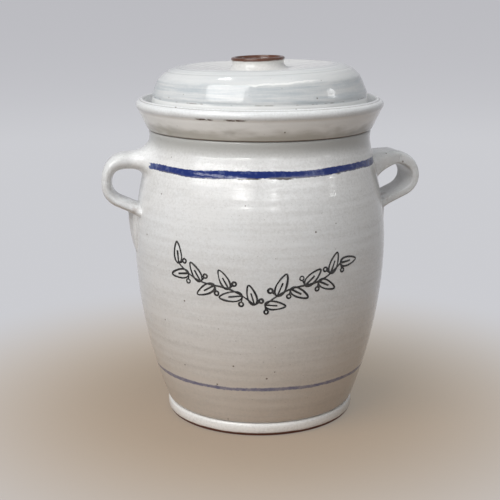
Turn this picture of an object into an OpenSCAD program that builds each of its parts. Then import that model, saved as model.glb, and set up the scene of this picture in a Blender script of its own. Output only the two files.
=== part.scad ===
// Stoneware fermentation crock with a water-sealed lid, two loop handles and a pair of weights.
// Millimetres, +Z up. The origin is the centre of the foot, on the surface that the crock stands on.
// The handles lie on the X axis, and every turned piece is round about Z.

/* [Crock wall] */
// Outer radius at the widest part of the belly
belly_radius = 78; // [70:0.5:90]
// Height of the widest part of the belly
belly_height = 112; // [100:1:124]
// Outer radius where the wall meets the foot
base_radius = 58.4; // [52:0.2:64]
// Outer radius where the shoulder runs into the neck
neck_radius = 68.8; // [65:0.2:73]
// Height at which the shoulder runs into the neck
neck_height = 168; // [158:1:184]
// Height of the hollow neck, from the shoulder to the crease of the collar
neck_run = 12; // [9:0.5:16]
// Outer radius of the crease where the collar starts
crease_radius = 68.8; // [66:0.2:72]
// Fullness of the shoulder: a higher power keeps the belly wide for longer
shoulder_power = 1.6; // [1.3:0.05:2.2]
// Thickness of the wall
wall = 6; // [4:0.25:8]
// Thickness of the floor
floor_thickness = 6; // [4:0.25:9]
// Radius of the round inside corner between floor and wall
floor_fillet = 7; // [4:0.5:10]

/* [Foot] */
// Height of the foot ring
foot_height = 8; // [6:0.5:12]
// Outer radius of the foot ring at its widest
foot_radius = 59.2; // [53:0.2:65]
// Width of the foot ring, from its bore to its widest
foot_width = 13; // [9:0.5:18]
// Depth of the hollow under the floor
foot_hollow = 4; // [2:0.25:5.5]
// Height of the bare bevel at the bottom of the foot
foot_bevel = 1.6; // [1:0.1:3]

/* [Water collar] */
// Outer radius of the collar at its lip
lip_radius = 75.4; // [74:0.2:82]
// Height of the collar from its crease to its rim
collar_height = 17.4; // [15:0.1:22]
// Thickness of the collar where it sits on the shoulder
collar_wall = 2.7; // [2.2:0.1:3.5]
// Thickness of the collar at its rim
lip_wall = 4.2; // [3.6:0.1:5]
// Rounding of the lip's outer edge
lip_round = 2.6; // [1.5:0.1:3]
// Radius of the fine ridge inside the rim
ridge_radius = 0.9; // [0.5:0.1:1.2]
// Height of the rounded lip face
lip_face = 6; // [4:0.5:8]
// Turn of the lip face below its widest point, in degrees
lip_turn = 30; // [20:1:40]

/* [Mouth] */
// Thickness of the inner lip that keeps the water out of the crock
inner_lip = 5; // [4:0.25:6]
// Distance of the inner lip's top below the rim
inner_lip_drop = 3; // [2:0.5:6]
// Thickness of the channel floor at the mouth
ledge_thickness = 6; // [5:0.5:9]
// Height of the sloping underside of the channel floor
ledge_slope = 9; // [6:0.5:12]

/* [Lid] */
// Thickness of the lid's skirt and dome
lid_wall = 4.8; // [3.6:0.1:6]
// How much wider the lid is at the rim than at its lower edge
lid_flare = 0.6; // [0:0.1:2]
// Height of the lid's shoulder above the rim
lid_rise = 18.8; // [14:0.2:26]
// Distance below the rim at which the shoulder starts to curve in
shoulder_start = 1.9; // [0.5:0.1:4]
// Radial width of the round shoulder
shoulder_width = 19; // [14:0.5:26]
// Depth of the shallow dish between the shoulder and the knob
lid_dish = 1.8; // [0.5:0.1:3]
// Radius of the two gas notches in the skirt
notch_radius = 2.5; // [1.5:0.1:3.5]

/* [Knob] */
// Radius of the knob where it spreads onto the lid
knob_base_radius = 20.8; // [18:0.2:26]
// Radius of the knob's rim
knob_radius = 16.5; // [14:0.1:17]
// Height of the knob
knob_height = 7.6; // [6.5:0.1:11]
// Width of the rim round the knob's hollow
knob_rim = 2.6; // [1.8:0.1:4]
// Thickness of the knob's overhanging rim edge
knob_edge = 2.2; // [1.5:0.1:2.8]
// How far the knob's waist is drawn in under its rim
knob_waist = 0.9; // [0.4:0.1:1.2]
// Thickness of clay under the knob's hollow
knob_floor = 1.6; // [1:0.1:2]
// Turn of the knob's rim edge below its widest point, in degrees
knob_turn = 45; // [30:1:60]

/* [Handles] */
// Reach of the left handle from the wall to its outermost face
left_reach = 25.6; // [22:0.2:34]
// Reach of the right handle, which was pulled a little longer
right_reach = 27.8; // [22:0.2:34]
// Distance of the left handle's upper run below the neck
left_drop = 5.7; // [4:0.1:16]
// Distance of the right handle's upper run below the neck
right_drop = 8; // [4:0.1:16]
// Width of the strap
handle_width = 22; // [14:0.5:26]
// Thickness of the strap
handle_thickness = 7; // [5:0.25:8]
// Height from the upper run to the outermost point of the bend
bend_rise = 14; // [12:0.5:18]
// Height of the lower quarter of the bend
bend_fall = 11; // [9.5:0.5:16]
// Depth of the bend, from the end of the upper run to the strap's outermost centre line
bend_depth = 13.5; // [11:0.5:16]
// Turn of the bend past its outermost point
bend_turn = 62; // [50:1:75]
// Length of the pressed tail below the lower root
tail_length = 24; // [14:1:34]
// Extra half width of the upper root at the wall
root_spread = 4; // [0:0.25:5]
// Extra half thickness of the upper root at the wall
root_swell = 6; // [0:0.2:7]
// Length over which the upper root thins to the strap
root_length = 13; // [6:0.5:16]

/* [Weights] */
// Radius of the pair of half-round weights
weight_radius = 56; // [54:0.5:64]
// Thickness of a weight
weight_thickness = 15; // [10:0.5:22]
// Gap between the two halves
weight_gap = 2; // [1:0.25:4]
// Radius of the finger hole that the two halves share
finger_radius = 10; // [8:0.5:14]
// Bevel on the edges of a weight
weight_bevel = 2; // [1:0.25:3]

/* [Fits] */
// Clearance between the lid's skirt and the collar at the channel floor
skirt_clearance = 0.7; // [0.4:0.05:1.2]
// Gap between the lid's skirt and the inner lip
lip_gap = 1.9; // [1:0.1:3]
// Clearance between a weight's lower edge and the wall that it wedges on
weight_clearance = 0.3; // [0.2:0.05:0.6]

/* [Hidden] */
$fn = 128;

// Steps along a smooth wall, and along a quarter of a small round edge
wall_steps = 28;
arc_steps = 8;
// Sides of the strap, and how square its section is
strap_sides = 20;
strap_power = 2.6;
// Steps along the strap: its upper run, the two quarters of its bend, its lower run and its tail
upper_steps = 10;
rise_steps = 9;
fall_steps = 7;
lower_steps = 4;
tail_steps = 8;
// Depth to which a handle is buried before the wall trims it
handle_bury = 4;
// Shares of the strap's half section that the tail stands proud by, and that it thins to at its tip
tail_proud = 0.3;
tail_tip = 0.25;
// Distance of the trimming solids and cutters past the faces that they cut
past = 1;

crease_height = neck_height + neck_run;
rim_height = crease_height + collar_height;
// The lid's skirt clears the channel floor, and the flared lid clears the rim, whichever is narrower
skirt_radius = min(crease_radius - collar_wall, lip_radius - lip_wall - lid_flare) - skirt_clearance;
lip_outer_radius = skirt_radius - lid_wall - lip_gap;
mouth_radius = lip_outer_radius - inner_lip;
lip_top = rim_height - inner_lip_drop;
lid_radius = skirt_radius + lid_flare;
lid_top = rim_height + lid_rise;
shoulder_height = rim_height - shoulder_start;
shoulder_radius = lid_radius - shoulder_width;
knob_seat = lid_top - lid_dish;
boss_radius = foot_radius - foot_width;
floor_top = foot_hollow + floor_thickness;

// Lower half of the lip's rounded face, from the collar up to its widest point
lip_centre = [lip_radius - lip_round, rim_height - lip_round];
lip_curve = arc(lip_centre, lip_round, lip_face - lip_round, -lip_turn, 0);
lip_start = lip_curve[0];

// Slopes of the outline, in radius per height, where the shoulder ends and where the collar starts
shoulder_slope = -shoulder_power * (belly_radius - neck_radius) / (neck_height - belly_height);
collar_slope = (lip_start[0] - crease_radius) / (lip_start[1] - crease_height);

// Outer radius of the wall at height z: a parabola up to the belly, a power curve up to the neck,
// and a smooth hollow from there to the crease of the collar
function wall_r(z) =
    z <= belly_height
    ? belly_radius - (belly_radius - base_radius)
        * pow((belly_height - z) / (belly_height - foot_height), 2)
    : z <= neck_height
    ? belly_radius - (belly_radius - neck_radius)
        * pow((z - belly_height) / (neck_height - belly_height), shoulder_power)
    : hollow_r((z - neck_height) / neck_run);

// Radius of the hollow neck at the share t of its height: a cubic that keeps both slopes
function hollow_r(t) =
    neck_radius * (2 * pow(t, 3) - 3 * t * t + 1) + crease_radius * (3 * t * t - 2 * pow(t, 3))
    + neck_run * (shoulder_slope * (pow(t, 3) - 2 * t * t + t) + collar_slope * (pow(t, 3) - t * t));

// Height below the belly at which the wall has the outer radius r
function wall_z(r) =
    belly_height - (belly_height - foot_height) * sqrt((belly_radius - r) / (belly_radius - base_radius));

// Points [radius, height] up the wall between two heights, moved inwards by depth
function wall_curve(z0, z1, depth = 0) = [
    for (i = [0:wall_steps])
        let (z = z0 + (z1 - z0) * i / wall_steps)
        [wall_r(z) - depth, z]
];

// Points on an ellipse with the given centre and half axes, from angle a0 to angle a1
function arc(centre, rx, rz, a0, a1, steps = arc_steps) = [
    for (i = [0:steps])
        let (a = a0 + (a1 - a0) * i / steps)
        [centre[0] + rx * cos(a), centre[1] + rz * sin(a)]
];

function reversed(list) = [for (i = [len(list) - 1:-1:0]) list[i]];

module turned(outline) {
    rotate_extrude() polygon(outline);
}

// Crock body: floor, wall, neck, channel floor and inner lip, thrown in one piece
ledge_under = crease_height - ledge_thickness;
ledge_foot = ledge_under - ledge_slope;
fillet_top = floor_top + floor_fillet;
fillet_radius = wall_r(fillet_top) - wall;
inner_round = inner_lip / 2;

module crock_body() {
    color("whitesmoke") turned(concat(
        [[0, foot_hollow], [boss_radius, foot_hollow], [boss_radius, foot_height]],
        wall_curve(foot_height, neck_height),
        wall_curve(neck_height, crease_height),
        [[lip_outer_radius, crease_height]],
        arc([lip_outer_radius - inner_round, lip_top - inner_round], inner_round, inner_round, 0, 180),
        [[mouth_radius, ledge_under]],
        reversed(wall_curve(fillet_top, ledge_foot, wall)),
        arc([fillet_radius - floor_fillet, fillet_top], floor_fillet, floor_fillet, 0, -90),
        [[0, floor_top]]
    ));
}

// Foot ring: a coil luted under the base and turned, with a bare bevel at the bottom
foot_mid = (foot_bevel + foot_height) / 2;
foot_rest_radius = foot_radius - foot_bevel;

module foot_ring() {
    color("white") turned(concat(
        [[boss_radius, 0], [foot_rest_radius, 0]],
        arc([base_radius, foot_mid], foot_radius - base_radius, foot_height - foot_mid, -90, 90),
        [[boss_radius, foot_height]]
    ));
}

// Water collar: the flared outer wall of the channel, with a rounded lip and a fine ridge inside the rim
ridge_centre = lip_radius - lip_wall + ridge_radius;

module water_collar() {
    color("gainsboro") turned(concat(
        [[crease_radius - collar_wall, crease_height], [crease_radius, crease_height]],
        lip_curve,
        arc(lip_centre, lip_round, lip_round, 0, 90),
        arc([ridge_centre, rim_height], ridge_radius, ridge_radius, 0, 180)
    ));
}

// Handle: a pulled strap that leaves the shoulder level, bends down and back, and ends in a pressed tail
strap_half = handle_thickness / 2;
strap_edge = handle_width / 2;

// Share of the way from 0 to 1, eased at both ends
function eased(t) = t * t * (3 - 2 * t);

// How far the root has swelled at the distance d from the wall: 1 at the wall, 0 past the root
function swelled(d) = pow(1 - min(1, max(0, d) / root_length), 2);

// Stations [radius, height, half width, half thickness] along the centre of a strap with the given
// reach from the wall and drop below the neck
function strap_stations(reach, drop) =
    let (top = neck_height - drop,
         middle = top - bend_rise,
         outer = wall_r(middle) + reach - strap_half,
         centre = [outer - bend_depth, middle],
         root = wall_r(top) - handle_bury,
         fall = arc(centre, bend_depth, bend_fall, 0, -bend_turn, fall_steps),
         bend = concat(arc(centre, bend_depth, bend_rise, 90, 0, rise_steps),
                       [for (i = [1:fall_steps]) fall[i]]),
         last = fall[fall_steps],
         slope = bend_fall / bend_depth / tan(bend_turn),
         run = last[0] - wall_r(last[1]),
         tail = last[1] - run * slope - strap_half)
    concat(
        [for (i = [0:upper_steps - 1])
            let (r = root + (centre[0] - root) * i / upper_steps, near = swelled(r - wall_r(top)))
            [r, top, strap_edge + root_spread * near, strap_half + root_swell * near]],
        [for (p = bend) [p[0], p[1], strap_edge, strap_half]],
        [for (i = [1:lower_steps - 1])
            let (gone = run * i / lower_steps)
            [last[0] - gone, last[1] - gone * slope, strap_edge, strap_half]],
        [for (i = [0:tail_steps])
            let (t = i / tail_steps, z = tail - tail_length * t, thin = 1 - eased(t),
                 size = tail_tip + (1 - tail_tip) * thin)
            [wall_r(z) + strap_half * tail_proud * thin, z, strap_edge * size, strap_half * size]]
    );

// Unit direction of the strap at station i
function heading(stations, i) =
    let (a = stations[max(0, i - 1)], b = stations[min(len(stations) - 1, i + 1)],
         d = [b[0] - a[0], b[1] - a[1]])
    d / norm(d);

// One rounded side of the strap's section
function rounded(x) = sign(x) * pow(abs(x), 2 / strap_power);

module strap(stations) {
    rings = len(stations);
    points = [
        for (i = [0:rings - 1])
            let (s = stations[i], d = heading(stations, i))
            for (k = [0:strap_sides - 1])
                let (a = 360 * k / strap_sides, h = s[3] * rounded(sin(a)), w = s[2] * rounded(cos(a)))
                [s[0] - d[1] * h, w, s[1] + d[0] * h]
    ];
    faces = concat(
        [for (i = [0:rings - 2])
            for (k = [0:strap_sides - 1])
                let (a = i * strap_sides + k, b = i * strap_sides + (k + 1) % strap_sides)
                for (f = [[a, b + strap_sides, b], [a, a + strap_sides, b + strap_sides]]) f],
        [[for (k = [0:strap_sides - 1]) k]],
        [[for (k = [strap_sides - 1:-1:0]) (rings - 1) * strap_sides + k]]
    );
    polyhedron(points, faces);
}

module handle(reach, drop) {
    color("whitesmoke") difference() {
        strap(strap_stations(reach, drop));
        turned(concat(
            [[0, foot_height]],
            wall_curve(foot_height, neck_height),
            wall_curve(neck_height, crease_height),
            [[0, crease_height]]
        ));
    }
}

module right_handle() {
    handle(right_reach, right_drop);
}

module left_handle() {
    rotate([0, 0, 180]) handle(left_reach, left_drop);
}

// Lid dome: the skirt stands in the channel and carries the domed cover
ceiling = knob_seat - lid_wall;
shoulder_centre = [shoulder_radius, shoulder_height];

module lid_dome() {
    color("gainsboro") difference() {
        turned(concat(
            [[skirt_radius - lid_wall, crease_height], [skirt_radius, crease_height]],
            arc(shoulder_centre, shoulder_width, lid_top - shoulder_height, 0, 90, 2 * arc_steps),
            [[knob_base_radius, knob_seat], [0, knob_seat], [0, ceiling]],
            arc(shoulder_centre, shoulder_width - lid_wall - lid_flare, ceiling - shoulder_height, 90, 0)
        ));
        translate([0, 0, crease_height]) rotate([90, 0, 0])
            cylinder(r = notch_radius, h = 2 * (skirt_radius + past), center = true);
    }
}

// Lid knob: a low hollow ring that spreads onto the lid and turns out to a thin rim
knob_top = knob_seat + knob_height;
edge_round = knob_edge / 2;
waist_radius = knob_radius - knob_waist;
waist_height = knob_height - knob_edge - knob_waist;
hollow_radius = knob_radius - knob_rim;
hollow_floor = knob_seat + knob_floor;
hollow_round = knob_height - knob_floor;

module lid_knob() {
    color("lightgray") turned(concat(
        [[0, knob_seat], [knob_base_radius, knob_seat]],
        arc([knob_base_radius, knob_seat + waist_height],
            knob_base_radius - waist_radius, waist_height, 270, 180),
        arc([knob_radius - edge_round, knob_top - edge_round], edge_round, edge_round, -knob_turn, 90),
        [[hollow_radius, knob_top]],
        arc([hollow_radius - hollow_round, knob_top], hollow_round, hollow_round, 0, -90),
        [[0, hollow_floor]]
    ));
}

// Weight: half a bevelled disc with half of the finger hole, wedged on the narrowing wall
weight_seat = max(floor_top, wall_z(weight_radius + weight_clearance + wall));
weight_top = weight_seat + weight_thickness;

module weight() {
    color("tan") difference() {
        turned([
            [0, weight_seat], [weight_radius, weight_seat], [weight_radius, weight_top - weight_bevel],
            [weight_radius - weight_bevel, weight_top], [0, weight_top]
        ]);
        translate([-weight_radius - past + weight_gap / 2, -weight_radius - past, weight_seat - past])
            cube([weight_radius + past, 2 * (weight_radius + past), weight_thickness + 2 * past]);
        translate([0, 0, weight_seat - past])
            cylinder(r = finger_radius, h = weight_thickness + 2 * past);
    }
}

module right_weight() {
    weight();
}

module left_weight() {
    rotate([0, 0, 180]) weight();
}

crock_body();
foot_ring();
water_collar();
left_handle();
right_handle();
lid_dome();
lid_knob();
left_weight();
right_weight();
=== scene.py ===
# %% [markdown]
# # A glazed stoneware fermentation crock
# The real crock is thrown on a wheel, glazed white and fired. It has a full belly on a foot, a flared
# collar that holds a ring of water, a domed lid that stands in that water, and two pulled handles. The
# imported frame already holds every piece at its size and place. This lesson gives each piece the surface
# that hands, wheel and kiln leave on it.

# %% Load the frame
import math

import bmesh
import bpy
from mathutils import Matrix, Vector


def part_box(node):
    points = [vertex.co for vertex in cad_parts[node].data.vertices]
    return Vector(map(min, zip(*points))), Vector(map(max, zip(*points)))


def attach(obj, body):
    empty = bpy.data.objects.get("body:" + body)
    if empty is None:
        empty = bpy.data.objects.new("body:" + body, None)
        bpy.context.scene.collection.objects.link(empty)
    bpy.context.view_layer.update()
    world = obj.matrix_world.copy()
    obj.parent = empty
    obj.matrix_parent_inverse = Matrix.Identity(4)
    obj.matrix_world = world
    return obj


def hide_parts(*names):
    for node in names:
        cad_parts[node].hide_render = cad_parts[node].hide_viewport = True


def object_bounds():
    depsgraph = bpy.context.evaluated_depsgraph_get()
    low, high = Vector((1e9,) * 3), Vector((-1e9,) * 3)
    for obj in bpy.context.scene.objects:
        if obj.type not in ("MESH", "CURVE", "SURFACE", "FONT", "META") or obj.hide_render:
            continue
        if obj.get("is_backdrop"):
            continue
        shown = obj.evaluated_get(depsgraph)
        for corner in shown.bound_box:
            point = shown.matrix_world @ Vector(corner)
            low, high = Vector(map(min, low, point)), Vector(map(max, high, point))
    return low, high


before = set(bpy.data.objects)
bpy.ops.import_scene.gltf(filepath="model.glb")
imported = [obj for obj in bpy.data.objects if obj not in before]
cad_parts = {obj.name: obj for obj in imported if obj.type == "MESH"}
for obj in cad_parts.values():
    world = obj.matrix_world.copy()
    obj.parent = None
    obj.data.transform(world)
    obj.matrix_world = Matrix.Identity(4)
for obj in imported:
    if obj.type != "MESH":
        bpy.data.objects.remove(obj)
cad_low, cad_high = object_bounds()
scene = bpy.context.scene
MM = 0.001
print("frame holds", ", ".join(sorted(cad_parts)))

# %% [markdown]
# ## The camera
# The photograph was taken from a little above the rim, with the handles turned twelve degrees from square
# to the lens. A camera can be posed by eye, but five turned circles on a pot are enough to work out its
# height, pitch and lens, so those measured values are used here.

# %% Camera
IMAGE_SIDE = 500
CAMERA_TURN = math.radians(-12)
CAMERA_PITCH = math.radians(13.47)
CAMERA_DISTANCE = 695 * MM
CAMERA_HEIGHT = 268.1 * MM
FOCAL_PIXELS = 1130
AXIS_PIXEL = 259.7


def around(turn, distance, height):
    """The point at a distance from the crock's axis, on the side that faces the given turn."""
    return Vector((math.sin(turn) * distance, -math.cos(turn) * distance, height))


lens = bpy.data.cameras.new("photo_lens")
lens.lens = lens.sensor_width * FOCAL_PIXELS / IMAGE_SIDE
lens.shift_x = 0.5 - AXIS_PIXEL / IMAGE_SIDE
camera = bpy.data.objects.new("photo_camera", lens)
camera.location = around(CAMERA_TURN, CAMERA_DISTANCE, CAMERA_HEIGHT)
camera.rotation_euler = (math.pi / 2 - CAMERA_PITCH, 0, CAMERA_TURN)
scene.collection.objects.link(camera)
scene.camera = camera
scene.view_settings.view_transform = "Standard"
print(f"lens {lens.lens:.1f} mm, shift {lens.shift_x:.4f}")

# %% [markdown]
# ## A pen for node trees
# Materials and Geometry Nodes are both trees of nodes. Each node can be placed and linked by hand in the
# editor; in a script that takes many lines, so one small class adds a node, fills its inputs with values
# or links, and hands back the output that the next node needs.

# %% Node pen


class Pen:
    """Adds nodes to a tree. Inputs are given by name or number, as plain values or as other outputs."""

    def __init__(self, tree):
        self.tree = tree

    def add(self, kind, inputs=None, out=0, **settings):
        node = self.tree.nodes.new(kind)
        for name, value in settings.items():
            setattr(node, name, value)
        for key, value in (inputs or {}).items():
            if isinstance(value, bpy.types.NodeSocket):
                self.tree.links.new(value, node.inputs[key])
            else:
                node.inputs[key].default_value = value
        return node.outputs[out]

    def math(self, operation, *terms):
        return self.add("ShaderNodeMath", dict(enumerate(terms)), operation=operation)

    def total(self, first, *rest):
        for term in rest:
            first = self.math("ADD", first, term)
        return first

    def product(self, first, *rest):
        for term in rest:
            first = self.math("MULTIPLY", first, term)
        return first

    def most(self, first, *rest):
        """The greatest of some values."""
        for term in rest:
            first = self.math("MAXIMUM", first, term)
        return first

    def rise(self, value, low, high):
        """0 up to low, 1 from high, and a smooth step between."""
        return self.add("ShaderNodeMapRange", {0: value, 1: low, 2: high}, interpolation_type="SMOOTHSTEP")

    def fall(self, value, low, high):
        """1 up to low, 0 from high, and a smooth step between."""
        return self.math("SUBTRACT", 1.0, self.rise(value, low, high))

    def between(self, value, low, high):
        """value taken from the range 0 to 1 to the range low to high."""
        return self.add("ShaderNodeMapRange", {0: value, 3: low, 4: high})

    def split(self, vector):
        return self.add("ShaderNodeSeparateXYZ", {0: vector}).node.outputs

    def joined(self, x, y, z):
        return self.add("ShaderNodeCombineXYZ", {0: x, 1: y, 2: z})

    def noise(self, place, size, seed=0.0, detail=2.0, rough=0.5):
        """Soft random values from 0 to 1, with lumps of about the given size in metres."""
        return self.add("ShaderNodeTexNoise", {"Vector": place, "W": seed, "Scale": 1 / size,
                                               "Detail": detail, "Roughness": rough},
                        noise_dimensions="4D")

    def drift(self, place, size, seed, low, high, detail=2.0, rough=0.5):
        """The same soft random values, taken to the range low to high."""
        return self.between(self.noise(place, size, seed, detail, rough), low, high)

    def mix(self, share, first, second):
        """A colour between two colours."""
        return self.add("ShaderNodeMix", {0: share, 6: first, 7: second}, out=2, data_type="RGBA")


print("pen ready")

# %% [markdown]
# ## Growing a piece from a node tree
# A Geometry Nodes tree works on a small seed mesh, such as an outline or a line of stations, and grows the
# piece from it. The result is read back as a plain mesh, so nothing live is left on the piece. Its signed
# volume tells whether its faces point outwards, and they are turned round if they don't.

# %% Grow pieces


def new_tree(name, sizes):
    """A Geometry Nodes tree with named inputs, its pen and its input sockets by name."""
    tree = bpy.data.node_groups.new(name, "GeometryNodeTree")
    tree.interface.new_socket("Seed mesh", in_out="INPUT", socket_type="NodeSocketGeometry")
    for label, kind in sizes.items():
        tree.interface.new_socket(label, in_out="INPUT", socket_type="NodeSocket" + kind)
    tree.interface.new_socket("Piece", in_out="OUTPUT", socket_type="NodeSocketGeometry")
    given = tree.nodes.new("NodeGroupInput")
    return tree, Pen(tree), given.outputs


def close_tree(pen, geometry, finish):
    """Ends a tree: smooth faces, instances made real, and the finish on every face."""
    smooth = pen.add("GeometryNodeSetShadeSmooth", {0: geometry})
    real = pen.add("GeometryNodeRealizeInstances", {0: smooth})
    dressed = pen.add("GeometryNodeSetMaterial", {0: real, 2: finish})
    end = pen.tree.nodes.new("NodeGroupOutput")
    pen.tree.links.new(dressed, end.inputs[0])


def settle(piece):
    """Turns the faces of a closed piece outwards."""
    shell = bmesh.new()
    shell.from_mesh(piece.data)
    if shell.calc_volume(signed=True) < 0:
        bmesh.ops.reverse_faces(shell, faces=shell.faces)
        shell.to_mesh(piece.data)
    shell.free()


def plain_copy(name, source):
    """A new object at the origin with what the modifiers of source give, and source removed."""
    graph = bpy.context.evaluated_depsgraph_get()
    mesh = bpy.data.meshes.new_from_object(source.evaluated_get(graph), depsgraph=graph)
    bpy.data.objects.remove(source)
    mesh.name = name
    piece = bpy.data.objects.new(name, mesh)
    scene.collection.objects.link(piece)
    return piece


def grow(name, tree, seed_mesh, sizes):
    """Runs a tree on a seed mesh with the given sizes and returns the grown piece."""
    seed = bpy.data.objects.new(name + "_seed", seed_mesh)
    scene.collection.objects.link(seed)
    modifier = seed.modifiers.new("grow", "NODES")
    modifier.node_group = tree
    for item in tree.interface.items_tree:
        if item.in_out == "INPUT" and item.name in sizes:
            modifier[item.identifier] = sizes[item.name]
    piece = plain_copy(name, seed)
    settle(piece)
    print(f"{name}: {len(piece.data.polygons)} faces")
    return piece


def seed_line(name, points, **values):
    """A line of points as a mesh, with a number or a vector kept at each point for the tree to read."""
    mesh = bpy.data.meshes.new(name)
    mesh.from_pydata(points, [(i, i + 1) for i in range(len(points) - 1)], [])
    for label, column in values.items():
        vector = hasattr(column[0], "__len__")
        layer = mesh.attributes.new(label, "FLOAT_VECTOR" if vector else "FLOAT", "POINT")
        flat = [x for row in column for x in row] if vector else column
        layer.data.foreach_set("vector" if vector else "value", flat)
    return mesh


def at_row(pen, geometry, row, label, kind):
    """What a seed line keeps under a label at the given row; its own place where there is no label."""
    if label:
        field = pen.add("GeometryNodeInputNamedAttribute", {"Name": label}, data_type=kind)
    else:
        field = pen.add("GeometryNodeInputPosition")
    return pen.add("GeometryNodeSampleIndex", {0: geometry, 1: field, 2: row}, data_type=kind)


def grid_on(pen, line, columns):
    """A grid with a row for each point of a seed line, the share of the way across it, and its row number."""
    rows = pen.add("GeometryNodeAttributeDomainSize", {0: line})
    grid = pen.add("GeometryNodeMeshGrid", {0: 1.0, 1: 1.0, 2: pen.math("ADD", columns, 1), 3: rows})
    across, along, _ = pen.split(pen.add("GeometryNodeInputPosition"))
    row = pen.math("ROUND", pen.product(pen.math("ADD", along, 0.5), pen.math("SUBTRACT", rows, 1)))
    return grid, pen.math("ADD", across, 0.5), row


print("growing ready")

# %% [markdown]
# ## The wheel
# Everything round on this pot was turned, so one tree turns an outline about the Z axis. A Screw modifier
# could do that too, but a potter's fingers also leave a spiral of shallow rings and a little unevenness,
# and the tree can add both: each row of a grid takes its radius and height from the outline, and moves
# along the outline's own normal by the height of the spiral there.

# %% The turning tree
PRESS_SIZE = 22 * MM
LUMP_SIZE = 45 * MM
WELD = 0.002 * MM
wheel, pen, given = new_tree("turned_on_the_wheel", {
    "Segments": "Int", "Ring depth": "Float", "Ring pitch": "Float", "Unevenness": "Float",
    "Hand": "Float", "Finish": "Material"})
outline_in = given["Seed mesh"]
grid, turn, row = grid_on(pen, outline_in, given["Segments"])
radius, _, height = pen.split(at_row(pen, outline_in, row, None, "FLOAT_VECTOR"))
normal_r, _, normal_z = pen.split(at_row(pen, outline_in, row, "outward", "FLOAT_VECTOR"))
travel = at_row(pen, outline_in, row, "travel", "FLOAT")
shown = at_row(pen, outline_in, row, "shown", "FLOAT")
angle = pen.product(turn, 2 * math.pi)
cosine = pen.math("COSINE", angle)
sine = pen.math("SINE", angle)
spot = pen.joined(pen.product(radius, cosine), pen.product(radius, sine), height)
wound = pen.math("ADD", pen.math("DIVIDE", travel, given["Ring pitch"]), turn)
spiral = pen.math("SINE", pen.product(wound, 2 * math.pi))
pressure = pen.drift(spot, PRESS_SIZE, given["Hand"], -0.3, 1.9)
off_axis = pen.rise(radius, 3 * MM, 12 * MM)
ring = pen.product(spiral, pressure, off_axis, given["Ring depth"])
lump = pen.product(pen.drift(spot, LUMP_SIZE, given["Hand"], -1, 1, detail=1), given["Unevenness"])
lift = pen.product(pen.total(ring, lump), shown)
reach = pen.math("ADD", radius, pen.product(normal_r, lift))
level = pen.math("ADD", height, pen.product(normal_z, lift))
turned_place = pen.joined(pen.product(reach, cosine), pen.product(reach, sine), level)
turned_grid = pen.add("GeometryNodeSetPosition", {0: grid, 2: turned_place})
sealed = pen.add("GeometryNodeMergeByDistance", {0: turned_grid, 2: WELD})
close_tree(pen, sealed, given["Finish"])
print("wheel tree has", len(wheel.nodes), "nodes")

# %% [markdown]
# ## Reading a turned piece's outline
# A turned CAD piece is made of circles, so its outline can be read back from its corners: every corner is
# swung into one half plane, where the corners of a circle fall on one point and the edges between circles
# become the outline. Flat discs have no corner at the axis, so an open outline is led there at both ends.

# %% Outlines
SAME_CORNER = 0.02 * MM
RING_FADE = 4 * MM


def read_outline(node):
    """The [radius, height] corners of a turned CAD piece in order, and whether they close on themselves."""
    flat = bmesh.new()
    flat.from_mesh(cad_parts[node].data)
    beside = [v for v in flat.verts if abs(v.co.y) > abs(v.co.x)]
    bmesh.ops.delete(flat, geom=beside, context="VERTS")
    for v in flat.verts:
        v.co = (math.hypot(v.co.x, v.co.y), 0, v.co.z)
    bmesh.ops.remove_doubles(flat, verts=flat.verts, dist=SAME_CORNER)
    ends = [v for v in flat.verts if len(v.link_edges) == 1]
    walk = [min(ends or flat.verts, key=lambda v: (v.co.z, v.co.x))]
    used = set()
    while True:
        steps = [e for e in walk[-1].link_edges if e not in used]
        if not steps:
            break
        used.add(steps[0])
        walk.append(steps[0].other_vert(walk[-1]))
    corners = [(v.co.x, v.co.z) for v in walk]
    flat.free()
    if ends:
        corners = [(0, corners[0][1])] + corners + [(0, corners[-1][1])]
    return corners, not ends


def even_steps(corners, spacing):
    """Points at an even spacing along a line of corners."""
    lengths = [math.dist(a, b) for a, b in zip(corners, corners[1:])]
    count = max(2, round(sum(lengths) / spacing))
    step = sum(lengths) / count
    points = []
    gone = 0
    for (a, b), length in zip(zip(corners, corners[1:]), lengths):
        while len(points) * step < gone + length - 1e-9:
            t = (len(points) * step - gone) / length
            points.append([a[0] + (b[0] - a[0]) * t, a[1] + (b[1] - a[1]) * t])
        gone += length
    return points + [list(corners[-1])]


def eased(points, closed, rounds):
    """The points after some rounds of averaging with their neighbours, which rounds off corners."""
    for _ in range(rounds):
        before = points[-1:] + points[:-1]
        after = points[1:] + points[:1]
        moved = [[(a[k] + 2 * p[k] + b[k]) / 4 for k in (0, 1)]
                 for a, p, b in zip(before, points, after)]
        points = moved if closed else points[:1] + moved[1:-1] + points[-1:]
    return points


def outward_of(points, closed):
    """The unit normal at each point, pointing out of the clay."""
    before = points[-1:] + points[:-1] if closed else points[:1] + points[:-1]
    after = points[1:] + points[:1] if closed else points[1:] + points[-1:]
    turns = [Vector((b[1] - a[1], a[0] - b[0])).normalized() for a, b in zip(before, after)]
    area = sum(p[0] * q[1] - q[0] * p[1] for p, q in zip(points, points[1:] + points[:1]))
    return [n if area > 0 else -n for n in turns]


def ramp(value):
    """value, kept between 0 and 1."""
    return min(1, max(0, value))


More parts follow.
